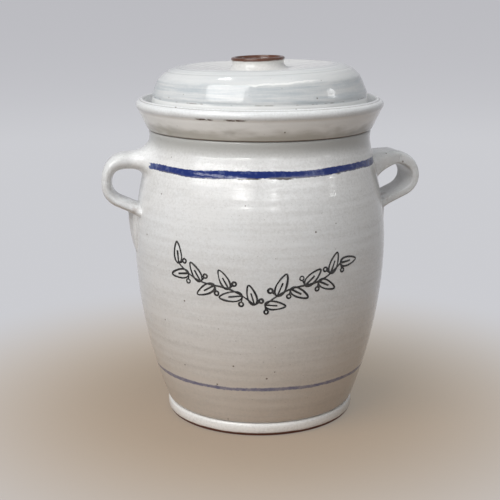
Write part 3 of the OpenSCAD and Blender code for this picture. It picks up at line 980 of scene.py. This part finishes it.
wide = squared(pen.math("COSINE", angle))
thick = squared(pen.math("SINE", angle))
middle_x, _, middle_z = pen.split(at_row(pen, stations_in, row, None, "FLOAT_VECTOR"))
head_x, _, head_z = pen.split(at_row(pen, stations_in, row, "heading", "FLOAT_VECTOR"))
half_width, half_thick, clings = pen.split(at_row(pen, stations_in, row, "section", "FLOAT_VECTOR"))
lift, proud, dent = pen.split(at_row(pen, stations_in, row, "seat", "FLOAT_VECTOR"))
aside = pen.math("ABSOLUTE", pen.math("SUBTRACT", wide, given["Groove side"]))
hollow = pen.product(pen.most(thick, 0.0), pen.fall(aside, 0.0, 0.85))
rise = pen.math("SUBTRACT", pen.product(half_thick, thick), pen.product(hollow, given["Groove"]))
strap_y = pen.product(half_width, wide)
strap_x = pen.total(middle_x, pen.product(head_z, rise, -1.0), pen.product(strap_y, given["Slant"], -1.0))
strap_z = pen.total(middle_z, pen.product(head_x, rise))
touch = on_wall(pen, given["Wall"], pen.joined(RAY_LENGTH, strap_y, strap_z), (-1.0, 0.0, 0.0))
swell = pen.product(proud, pen.most(thick, -0.3))
seated = pen.total(pen.split(touch)[0], lift, swell, pen.product(hollow, dent, -1.0))
laid_x = pen.total(pen.product(strap_x, pen.math("SUBTRACT", 1.0, clings)), pen.product(seated, clings))
swept = pen.add("GeometryNodeSetPosition", {0: grid, 2: pen.joined(laid_x, strap_y, strap_z)})
sealed = pen.add("GeometryNodeMergeByDistance", {0: swept, 2: WELD})
faced = pen.add("GeometryNodeTransform", {0: sealed, 2: pen.joined(0.0, 0.0, given["Half turn"])})
close_tree(pen, faced, given["Finish"])
print("strap tree has", len(strap.nodes), "nodes")

# %% [markdown]
# ## Stations along a handle
# The path repeats the frame's: level out of the shoulder, a bend that is an ellipse in its upper and its
# lower quarter, and a straight run back to the wall. The upper root spreads on the wall in the fillet that a
# wet thumb leaves, which is another ellipse: a power of 2 makes it round, a lower one draws it out. The
# pressed tail is a second, short sweep down the wall, with the hollow of a thumb down its middle.

# %% Handle stations
STRAP_HALF_WIDTH = 11 * MM
BEND_DEPTH = 13.5 * MM
BEND_TURN = math.radians(62)
BURIED_ROWS = ((1.2, -2.6 * MM, 0.02), (1.2, -2.5 * MM, 0.9), (1.2, -1 * MM, 1.0), (1.2, -0.3 * MM, 1.0),
               (1.1, -0.06 * MM, 1.0))
ROOT_ROWS = 18
UPPER_ROWS = 16
LOWER_ROWS = 12
RUN_ROWS = 12
ROWS_IN_WALL = 3
RUN_END = 1.32
END_SIZE = 0.02
TAIL_ROWS = 30
TAIL_ROUND = 0.1
TAIL_EDGE = 0.2 * MM
TAIL_LEAST = 0.02 * MM
TAIL_TIP, TAIL_WIDENS = 5 * MM, 4.5 * MM
TAIL_THINS = 0.8
TAIL_HOLLOW = 0.5
SPREAD_FROM, SPREAD_ROWS = 7, 5
SPREAD_THICKENS = 0.4
BASE_EDGE = 57 * MM
wall_corners = [p for p in read_outline("crock_body")[0] if p[0] > BASE_EDGE]
collar_corner = next(i for i, p in enumerate(wall_corners) if p[1] >= CREASE_HEIGHT - 1e-6)
outer_wall = wall_corners[:collar_corner + 1]


def wall_radius(z):
    """Outer radius of the wall at a height."""
    below, above = next((a, b) for a, b in zip(outer_wall, outer_wall[1:]) if a[1] <= z <= b[1])
    return below[0] + (above[0] - below[0]) * (z - below[1]) / (above[1] - below[1])


class Stations:
    """Rows for the strap tree: middles, sections (half width, half thickness, cling) and seats."""

    def __init__(self):
        self.middles = []
        self.sections = []
        self.seats = []
        self.levels = []

    def add(self, x, z, half_width, half_thick, clings=0.0, lift=0.0, proud=0.0, dent=0.0, level=False):
        self.middles.append((x, 0, z))
        self.sections.append((half_width, half_thick, clings))
        self.seats.append((lift, proud, dent))
        self.levels.append(level)

    def seed(self, name):
        last = len(self.middles) - 1
        headings = []
        for i, level in enumerate(self.levels):
            step = Vector(self.middles[min(i + 1, last)]) - Vector(self.middles[max(i - 1, 0)])
            headings.append((1, 0, 0) if level else tuple(step.normalized()))
        return seed_line(name, self.middles, heading=headings, section=self.sections, seat=self.seats)


def add_root(path, pull, share, lift, size=1.0):
    """One row of the upper root, with a share of its full spread. A lift below 0 puts it inside the wall."""
    path.add(wall_radius(pull["top"]) + lift, pull["top"] + (pull["up"] - pull["down"]) / 2 * share,
             size * (STRAP_HALF_WIDTH + pull["side"] * share),
             size * (pull["thick"] + (pull["up"] + pull["down"]) / 2 * share),
             1 - max(lift, 0) / pull["length"], lift, level=True)


def strap_stations(pull, outermost):
    """A handle as it was pulled, whose outer face reaches the radius outermost."""
    path = Stations()
    half = pull["half"]
    centre_x = outermost - half - BEND_DEPTH
    centre_z = pull["top"] - pull["rise"]
    for share, lift, size in BURIED_ROWS:
        add_root(path, pull, share, lift, size)
    for i in range(ROOT_ROWS + 1):
        gone = 1 - (1 - i / ROOT_ROWS) ** 2
        add_root(path, pull, 1 - gone, pull["length"] * (1 - (1 - gone ** pull["hug"]) ** (1 / pull["hug"])))
    for i in range(1, UPPER_ROWS + 1):
        a = math.pi / 2 * (1 - i / UPPER_ROWS)
        out, up = math.cos(a) ** pull["corner"], math.sin(a) ** pull["corner"]
        path.add(centre_x + BEND_DEPTH * out, centre_z + pull["rise"] * up, STRAP_HALF_WIDTH,
                 half + (pull["thick"] - half) * up ** 2)
    for i in range(1, LOWER_ROWS + 1):
        a = -BEND_TURN * i / LOWER_ROWS
        path.add(centre_x + BEND_DEPTH * math.cos(a), centre_z + pull["fall"] * math.sin(a),
                 STRAP_HALF_WIDTH, half)
    last_x, _, last_z = path.middles[-1]
    slope = pull["fall"] / BEND_DEPTH / math.tan(BEND_TURN)
    run = last_x - wall_radius(last_z)
    for i in range(1, RUN_ROWS + ROWS_IN_WALL + 1):
        gone = run * i / RUN_ROWS
        spread = (max(0, i - SPREAD_FROM) / SPREAD_ROWS) ** 2 * MM
        path.add(last_x - gone, last_z - gone * slope, STRAP_HALF_WIDTH + spread,
                 half + SPREAD_THICKENS * spread)
    gone = run * RUN_END
    path.add(last_x - gone, last_z - gone * slope, STRAP_HALF_WIDTH * END_SIZE, half * END_SIZE)
    return path, last_z - run * slope


def tail_stations(start, end, proud):
    """The pressed tail between two heights on the wall, with a thumb's hollow down its middle."""
    path = Stations()
    for i in range(TAIL_ROWS + 1):
        t = i / TAIL_ROWS
        z = start + (end - start) * t
        round_top = math.sqrt(1 - max(0, 1 - t / TAIL_ROUND) ** 2)
        thin = (1 - t) ** TAIL_THINS
        path.add(wall_radius(z), z, round_top * (TAIL_TIP + TAIL_WIDENS * thin) + TAIL_LEAST, 0, clings=1.0,
                 proud=round_top * proud * thin + TAIL_EDGE, dent=round_top * TAIL_HOLLOW * proud * thin)
    return path


print("stations ready")

# %% [markdown]
# ## The two handles
# No two pulled handles are alike, so each has its own values: the squareness of its outer and inner face,
# half its thickness below and above, the height of its top, the rise and fall of its bend, how sharp the
# corner is, how far its root spreads up, down and sideways, and how proud the tail is pressed.

# %% Handles
GROOVE_DEPTH = 0.5 * MM
TAIL_OVERLAP = 1.5 * MM
TAIL_SQUARENESS = 2.3
THUMB_SIDE = 0.2
HANDLES = {
    "left_handle": {"outer": 2.3, "inner": 2.2, "half": 3.4 * MM, "top": 162.0 * MM, "thick": 5.3 * MM,
                    "rise": 14.5 * MM, "fall": 11.8 * MM, "reach": -0.8 * MM, "corner": 0.8,
                    "up": 9.5 * MM, "down": 7.5 * MM, "side": 13 * MM, "length": 11 * MM, "hug": 2.3,
                    "tail": 6.6 * MM, "slant": -0.12},
    "right_handle": {"outer": 3.2, "inner": 8.0, "half": 2.8 * MM, "top": 159.8 * MM, "thick": 4.2 * MM,
                     "rise": 12.2 * MM, "fall": 11.8 * MM, "reach": -1.4 * MM, "corner": 1.0,
                     "up": -1.5 * MM, "down": 7.8 * MM, "side": 7 * MM, "length": 15 * MM, "hug": 1.35,
                     "tail": 4.4 * MM, "slant": 0.15},
}


def merge_pieces(name, first, second):
    """Two shells as one piece, with their open ends closed."""
    both = bmesh.new()
    both.from_mesh(first.data)
    both.from_mesh(second.data)
    bmesh.ops.holes_fill(both, edges=both.edges)
    bmesh.ops.recalc_face_normals(both, faces=both.faces)
    both.to_mesh(first.data)
    both.free()
    bpy.data.objects.remove(second)
    first.name = name
    return first


for node, pull in HANDLES.items():
    low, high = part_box(node)
    on_left = node.startswith("left")
    sizes = {"Sides": 72, "Outer squareness": pull["outer"], "Inner squareness": pull["inner"],
             "Slant": pull["slant"], "Groove": GROOVE_DEPTH, "Groove side": 0.0,
             "Half turn": math.pi if on_left else 0.0, "Wall": crock_wall, "Finish": white_wall}
    path, meets_wall = strap_stations(pull, max(-low.x, high.x) + pull["reach"])
    loop = grow(node + "_strap", strap, path.seed(node + "_path"), sizes)
    tail_path = tail_stations(meets_wall + TAIL_OVERLAP, low.z, pull["tail"])
    sizes.update({"Outer squareness": TAIL_SQUARENESS, "Inner squareness": TAIL_SQUARENESS, "Slant": 0.0,
                  "Groove side": THUMB_SIDE if on_left else -THUMB_SIDE})
    tail = grow(node + "_tail", strap, tail_path.seed(node + "_tail_path"), sizes)
    loop = merge_pieces(node.replace("handle", "loop"), loop, tail)
    place_piece(loop, "crock", "white_glaze", node)

# %% [markdown]
# ## A drawn twig
# The front of the belly is decorated with leafy twigs, drawn in thin lines of dark slip. A painted texture
# would need a picture, so the lines are real strokes: a tree sets leaves and berries along a flat stem, wraps
# the whole drawing round the pot by casting a ray to the wall from every point, and gives each line a round,
# slightly uneven section that is half sunk in the glaze.

# %% The twig tree
RAY_START = 150 * MM
twig, pen, given = new_tree("twig_on_the_wall", {
    "Leaves": "Int", "Leaf length": "Float", "Leaf width": "Float", "Stalk": "Float", "Berry": "Float",
    "Stroke": "Float", "Sink": "Float", "Facing": "Float", "Belly": "Float", "Hand": "Int", "Wall": "Object",
    "Finish": "Material"})


def dotted(curve, count):
    """A curve with an even row of points on it."""
    return pen.add("GeometryNodeResampleCurve", {0: curve, 2: count})


def straight_line(end, count):
    """A line from the sprig's foot to its end."""
    return dotted(pen.add("GeometryNodeCurvePrimitiveLine", {1: end}), count)


stem = dotted(pen.add("GeometryNodeMeshToCurve", {0: given["Seed mesh"]}), 70)
ring_x, ring_y, _ = pen.split(pen.add("GeometryNodeInputPosition"))
leaf_x = pen.product(pen.math("SUBTRACT", 1.0, ring_x), 0.5, given["Leaf length"])
taper = pen.between(pen.math("MULTIPLY_ADD", ring_x, 0.5, 0.5), 0.55, 1.15)
leaf_y = pen.product(ring_y, taper, 0.5, given["Leaf width"])
leaf_ring = pen.add("GeometryNodeCurvePrimitiveCircle", {0: 22, 4: 1.0})
leaf_edge = pen.add("GeometryNodeSetPosition", {0: leaf_ring, 2: pen.joined(leaf_x, leaf_y, 0.0)})
vein_end = pen.joined(pen.product(given["Leaf length"], 0.6), 0.0, 0.0)
vein = straight_line(vein_end, 8)
stalk_end = pen.joined(pen.product(given["Stalk"], 0.26), pen.product(given["Stalk"], 0.97), 0.0)
stalk = straight_line(stalk_end, 5)
berry_ring = pen.add("GeometryNodeCurvePrimitiveCircle", {0: 14, 4: given["Berry"]})
berry_place = pen.add("ShaderNodeVectorMath", {0: stalk_end, "Scale": 1.35}, operation="SCALE")
berry = pen.add("GeometryNodeTransform", {0: berry_ring, 1: berry_place})
sprig = pen.add("GeometryNodeJoinGeometry").node
for line in (leaf_edge, vein, stalk, berry):
    pen.tree.links.new(line, sprig.inputs[0])
spots = pen.add("GeometryNodeCurveToPoints", {0: stem, 1: given["Leaves"]}).node
index = pen.add("GeometryNodeInputIndex")
side = pen.math("SUBTRACT", pen.product(pen.math("MODULO", index, 2.0), 2.0), 1.0)
stem_x, stem_y, _ = pen.split(spots.outputs["Tangent"])
sway = pen.add("FunctionNodeRandomValue", {2: 0.55, 3: 0.85, 8: given["Hand"]}, out=1, data_type="FLOAT")
lean = pen.total(pen.math("ARCTAN2", stem_y, stem_x), pen.product(side, sway))
grown = pen.add("FunctionNodeRandomValue", {2: 0.82, 3: 1.1, 8: 5}, out=1, data_type="FLOAT")
sprig_turn = pen.add("FunctionNodeEulerToRotation", {0: pen.joined(0.0, 0.0, lean)})
sprigs = pen.add("GeometryNodeInstanceOnPoints", {0: spots.outputs[0], 2: sprig.outputs[0], 5: sprig_turn,
                                                  6: pen.joined(grown, pen.product(grown, side), grown)})
drawing = pen.add("GeometryNodeJoinGeometry").node
for line in (stem, sprigs):
    pen.tree.links.new(line, drawing.inputs[0])
flat = pen.add("GeometryNodeRealizeInstances", {0: drawing.outputs[0]})
flat_x, flat_y, _ = pen.split(pen.add("GeometryNodeInputPosition"))
around_pot = pen.total(given["Facing"], pen.math("DIVIDE", flat_x, given["Belly"]))
out_x = pen.math("SINE", around_pot)
out_y = pen.product(pen.math("COSINE", around_pot), -1.0)
from_x = pen.product(out_x, RAY_START)
from_y = pen.product(out_y, RAY_START)
inwards = pen.joined(pen.product(out_x, -1.0), pen.product(out_y, -1.0), 0.0)
touch = on_wall(pen, given["Wall"], pen.joined(from_x, from_y, flat_y), inwards)
sunk = pen.add("ShaderNodeVectorMath", {0: inwards, "Scale": given["Sink"]}, operation="SCALE")
wrapped = pen.add("GeometryNodeSetPosition", {0: flat, 2: touch, 3: sunk})
hand_width = pen.drift(pen.add("GeometryNodeInputPosition"), 7 * MM, 3.0, 0.72, 1.3)
nib = pen.add("GeometryNodeCurvePrimitiveCircle", {0: 8, 4: 1.0})
stroke_size = pen.product(given["Stroke"], hand_width)
strokes = pen.add("GeometryNodeCurveToMesh", {0: wrapped, 1: nib, 2: stroke_size, 3: True})
close_tree(pen, strokes, given["Finish"])
print("twig tree has", len(twig.nodes), "nodes")

# %% [markdown]
# ## The pair of twigs
# Each stem starts low in the middle and rises to one side, so one tree draws both from two mirrored lines.
# The leaves' random sway differs between them, as it would by hand. The slip is nearly black where it lies
# thick and a dark grey where it is thin, which takes one noise between two colours.

# %% Twigs
TWIG_FOOT = 88 * MM
TWIG_TIP = 109 * MM
TWIG_START, TWIG_END = 3 * MM, 50 * MM
TWIG_POINTS = 32
SLIP_BLACK = (0.006, 0.006, 0.007, 1)
SLIP_THIN = (0.06, 0.055, 0.05, 1)
TWIG_SIZES = {"Leaves": 7, "Leaf length": 12.5 * MM, "Leaf width": 6 * MM, "Stalk": 3.4 * MM,
              "Berry": 1.2 * MM, "Stroke": 0.85 * MM, "Sink": 0.6 * MM, "Facing": CAMERA_TURN,
              "Belly": 78 * MM}


def dark_slip():
    finish, pen, shader, place = new_finish("dark_slip")
    thin = pen.rise(pen.noise(place, 3 * MM, 91.0, detail=3), 0.45, 0.75)
    feed(pen, shader, Base_Color=pen.mix(thin, SLIP_BLACK, SLIP_THIN))
    glassy(pen, shader, place, 0.15, 0.35, 0.2)
    return finish


def twig_line(side):
    """A flat stem that leaves the middle low and rises in a slow S towards one side."""
    points = []
    for i in range(TWIG_POINTS + 1):
        t = i / TWIG_POINTS
        lift = t + 0.12 * math.sin(2 * math.pi * t)
        reach = TWIG_START + (TWIG_END - TWIG_START) * t
        points.append((side * reach, TWIG_FOOT + (TWIG_TIP - TWIG_FOOT) * lift, 0))
    return points


slip = dark_slip()
for label, side in (("left", -1), ("right", 1)):
    line = seed_line(label + "_stem", twig_line(side))
    sizes = {**TWIG_SIZES, "Hand": 3 + side, "Wall": crock_wall, "Finish": slip}
    drawn = grow(label + "_twig", twig, line, sizes)
    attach(drawn, "crock")

# %% [markdown]
# ## The weights
# Two half-round weights lie on the floor of the crock and hold the food under the brine. They are plain
# unglazed stoneware, sanded soft at the edges. Their CAD shape is right but for those edges, so a copy of it
# is merged, its flat faces are joined up, and a Bevel modifier breaks every edge.

# %% Weights
STONE_PALE = (0.52, 0.40, 0.28, 1)
STONE_DARK = (0.36, 0.25, 0.16, 1)
SANDED = 0.9 * MM
FLAT_WITHIN = math.radians(0.5)


def bare_stoneware():
    finish, pen, shader, place = new_finish("bare_stoneware")
    toasted = pen.total(pen.product(pen.noise(place, 26 * MM, 101.0, detail=4), 0.7),
                        pen.product(ring_noise(pen, place, 4 * MM, 103.0), 0.4))
    colour = pen.mix(pen.rise(toasted, 0.35, 0.8), STONE_PALE, STONE_DARK)
    colour = iron_specks(pen, place, colour, 3.5 * MM, 0.5 * MM, 0.6)
    grog = pen.noise(place, 0.9 * MM, 105.0, detail=2)
    bent = pen.add("ShaderNodeBump", {"Strength": 0.5, "Distance": 0.3 * MM, "Height": grog})
    shader.inputs["Specular IOR Level"].default_value = 0.25
    feed(pen, shader, Base_Color=colour, Roughness=pen.between(grog, 0.7, 0.95), Normal=bent)
    return finish


def softened_copy(name, node, finish, width):
    """A copy of a CAD node with its triangles joined into flat faces and its edges bevelled."""
    shell = bmesh.new()
    shell.from_mesh(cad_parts[node].data)
    bmesh.ops.remove_doubles(shell, verts=shell.verts, dist=0.005 * MM)
    bmesh.ops.dissolve_limit(shell, angle_limit=FLAT_WITHIN, verts=shell.verts, edges=shell.edges)
    mesh = bpy.data.meshes.new(name + "_rough")
    shell.to_mesh(mesh)
    shell.free()
    mesh.materials.clear()
    mesh.materials.append(finish)
    mesh.shade_smooth()
    rough = bpy.data.objects.new(name + "_rough", mesh)
    scene.collection.objects.link(rough)
    bevel = rough.modifiers.new("sanded_edges", "BEVEL")
    bevel.width = width
    bevel.segments = 3
    bevel.limit_method = "ANGLE"
    bevel.harden_normals = True
    piece = plain_copy(name, rough)
    print(f"{name}: {len(piece.data.polygons)} faces")
    return piece


stone = bare_stoneware()
for side in ("left", "right"):
    half_disc = softened_copy(side + "_half_disc", side + "_weight", stone, SANDED)
    place_piece(half_disc, side + "_half_weight", "bare_stoneware", side + "_weight")

# %% [markdown]
# ## The studio
# The pot stands on a plain pale sweep. The sweep is a bowl all round, turned by the same wheel, so that every
# other view has the same backdrop. Far from the pot it shows its own pale colour to the camera and in the
# gloss, and near the pot it is more and more a plain floor that keeps the shadow.

# %% Sweep
FLOOR_WARM = (0.72, 0.67, 0.60, 1)
FLOOR_COOL = (0.60, 0.605, 0.635, 1)
FLOOR_DIM = (0.50, 0.50, 0.53, 1)
FLOOR_BROWN = (0.25, 0.145, 0.065, 1)
FLOOR_TAN = (0.31, 0.20, 0.105, 1)
FLOOR_GREY = (0.24, 0.24, 0.24, 1)
COOL_FROM, COOL_FULL = 0.08, 0.30
DIM_FROM, DIM_FULL = 1.15, 1.55
GREY_FROM, GREY_FULL = 0.2, 0.45
GLOW_FROM, GLOW_FULL = 0.06, 0.30
SWEEP_LINE = ((0, 0), (0.3, 0), (0.7, 0), (1.1, 0), (1.3, 0.03), (1.45, 0.12), (1.55, 0.28), (1.6, 0.5),
              (1.6, 1.3))
SWEEP_STEP = 0.05


def sweep_finish():
    finish, pen, shader, place = new_finish("pale_sweep")
    radius = from_axis(pen, place)
    cool = pen.mix(pen.rise(radius, COOL_FROM, COOL_FULL), FLOOR_WARM, FLOOR_COOL)
    tone = pen.mix(pen.rise(radius, DIM_FROM, DIM_FULL), cool, FLOOR_DIM)
    near = pen.mix(pen.drift(place, 4 * MM, 111.0, 0.0, 0.2, detail=3), FLOOR_BROWN, FLOOR_TAN)
    feed(pen, shader, Base_Color=pen.mix(pen.rise(radius, GREY_FROM, GREY_FULL), near, FLOOR_GREY))
    shader.inputs["Roughness"].default_value = 0.85
    rays = pen.add("ShaderNodeLightPath").node
    seen = pen.most(rays.outputs["Is Camera Ray"], rays.outputs["Is Glossy Ray"])
    glow = pen.add("ShaderNodeEmission", {0: tone})
    lit = pen.product(seen, pen.between(pen.rise(radius, GLOW_FROM, GLOW_FULL), 0.3, 1.0))
    shown = pen.add("ShaderNodeMixShader", {0: lit, 1: shader.outputs[0], 2: glow})
    end = next(n for n in pen.tree.nodes if n.type == "OUTPUT_MATERIAL")
    pen.tree.links.new(shown, end.inputs[0])
    return finish


sweep_points = eased(even_steps(SWEEP_LINE, SWEEP_STEP), False, 6)
sweep_seed = seed_line("sweep_outline", [(r, 0, z) for r, z in sweep_points],
                       outward=[(0, 0, 1)] * len(sweep_points), travel=[0.0] * len(sweep_points),
                       shown=[0.0] * len(sweep_points))
sweep = grow("sweep", wheel, sweep_seed, {"Segments": 96, "Ring pitch": 1.0, "Finish": sweep_finish()})
sweep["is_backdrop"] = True

# %% [markdown]
# ## Windows
# Glaze is a mirror as well as a colour. One big soft window from the upper left gives the form its light and
# shade, and a weak fill keeps the other side open. The long low windows and the small panes add little light:
# each stands where the pot mirrors it, as a highlight on the shoulder, the belly or the lid.

# %% Lights
AIM = Vector((0, 0, 0.12))
WINDOW_DISTANCE = 1.3
DAYLIGHT = (1.0, 0.995, 0.98)
WHITE = (1.0, 1.0, 1.0)
SKY_TINT = (0.94, 0.98, 1.0, 1)
SKY_STRENGTH = 0.43
# Each row: turn from the camera's side and elevation in degrees, width and height in metres, watts, colour.
WINDOWS = {
    "big_window": (-40, 46, 0.9, 0.8, 11.8, DAYLIGHT),
    "low_window": (-36, 16, 1.5, 0.09, 2.3, DAYLIGHT),
    "right_window": (33, 16, 1.5, 0.085, 0.85, WHITE),
    "upper_fill": (45, 72, 0.9, 0.8, 1.8, WHITE),
    "left_pane": (-17, 14.1, 0.30, 0.055, 0.43, WHITE),
    "right_pane": (13, 13.9, 0.12, 0.07, 0.28, WHITE),
    "side_pane": (71, 10.3, 0.12, 0.05, 0.16, WHITE),
    "lid_pane": (87, 27, 0.16, 0.10, 0.3, WHITE),
    "top_pane": (-128, 68, 0.12, 0.12, 0.7, WHITE),
}


def window(name, turn, elevation, width, height, watts, colour):
    """A soft rectangular light that faces the pot."""
    light = bpy.data.lights.new(name, "AREA")
    light.shape = "RECTANGLE"
    light.size = width
    light.size_y = height
    light.energy = watts
    light.color = colour
    lamp = bpy.data.objects.new(name, light)
    level = math.radians(elevation)
    out = around(CAMERA_TURN + math.radians(turn), WINDOW_DISTANCE * math.cos(level),
                 WINDOW_DISTANCE * math.sin(level))
    lamp.location = AIM + out
    lamp.rotation_euler = (lamp.location - AIM).to_track_quat("Z", "Y").to_euler()
    lamp.visible_camera = False
    scene.collection.objects.link(lamp)


for name, values in WINDOWS.items():
    window(name, *values)
air = bpy.data.worlds.new("studio_air")
air.use_nodes = True
sky = air.node_tree.nodes["Background"]
sky.inputs["Color"].default_value = SKY_TINT
sky.inputs["Strength"].default_value = SKY_STRENGTH
scene.world = air

# %% Sizes and finish
visual_low, visual_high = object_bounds()
for label, box in (("cad", cad_high - cad_low), ("visual", visual_high - visual_low)):
    print(label, "box in metres:", [round(side, 4) for side in box])
